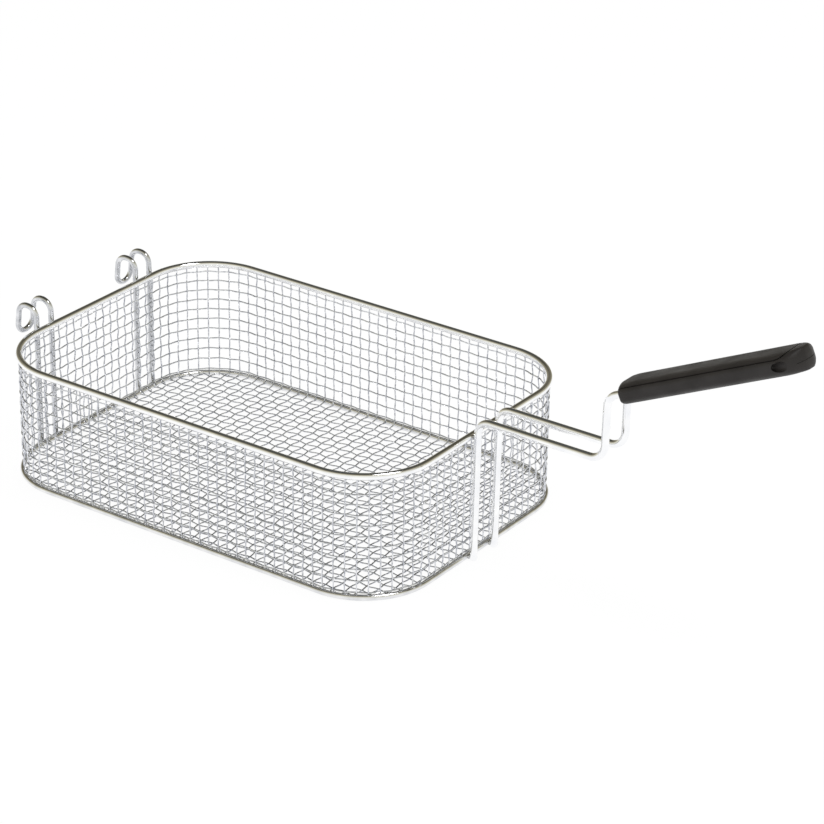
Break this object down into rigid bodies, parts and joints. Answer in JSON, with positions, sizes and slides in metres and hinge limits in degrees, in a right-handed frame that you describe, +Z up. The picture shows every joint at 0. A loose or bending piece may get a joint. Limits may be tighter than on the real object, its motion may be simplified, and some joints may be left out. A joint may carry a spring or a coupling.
{
  "type": "deep fryer basket",
  "caption": "Rectangular woven wire basket with rounded corners, a double-wire handle with a black grip, and hooks that hang it on the fryer tank's edge.",
  "frame": {"origin": "middle of the whole object's box, on the surface that the basket stands on", "axes": "+Z up; +X from the basket towards the tip of the handle, with the hooks at -X"},
  "size_m": [0.6064, 0.238, 0.2179],
  "materials": {
    "bright_wire": "polished, nickel-chrome plated steel wire",
    "woven_wire": "bright plated woven steel wire, slightly dulled by the weave",
    "black_moulding": "heat-resistant moulding, fine satin texture"
  },
  "bodies": {
    "root": {"rim_wire": "bright_wire", "base_ring": "bright_wire", "handle_wire": "bright_wire", "near_hook": "bright_wire", "far_hook": "bright_wire", "grip_body": "black_moulding", "grip_cover": "black_moulding", "floor_mesh": "woven_wire", "near_wall_wires": "woven_wire", "far_wall_wires": "woven_wire", "handle_end_wires": "woven_wire", "hook_end_wires": "woven_wire", "near_handle_corner_wires": "woven_wire", "far_handle_corner_wires": "woven_wire", "far_hook_corner_wires": "woven_wire", "near_hook_corner_wires": "woven_wire", "hoop_01": "woven_wire", "hoop_02": "woven_wire", "hoop_03": "woven_wire", "hoop_04": "woven_wire", "hoop_05": "woven_wire", "hoop_06": "woven_wire", "hoop_07": "woven_wire", "hoop_08": "woven_wire", "hoop_09": "woven_wire", "hoop_10": "woven_wire"}
  },
  "joints": []
}
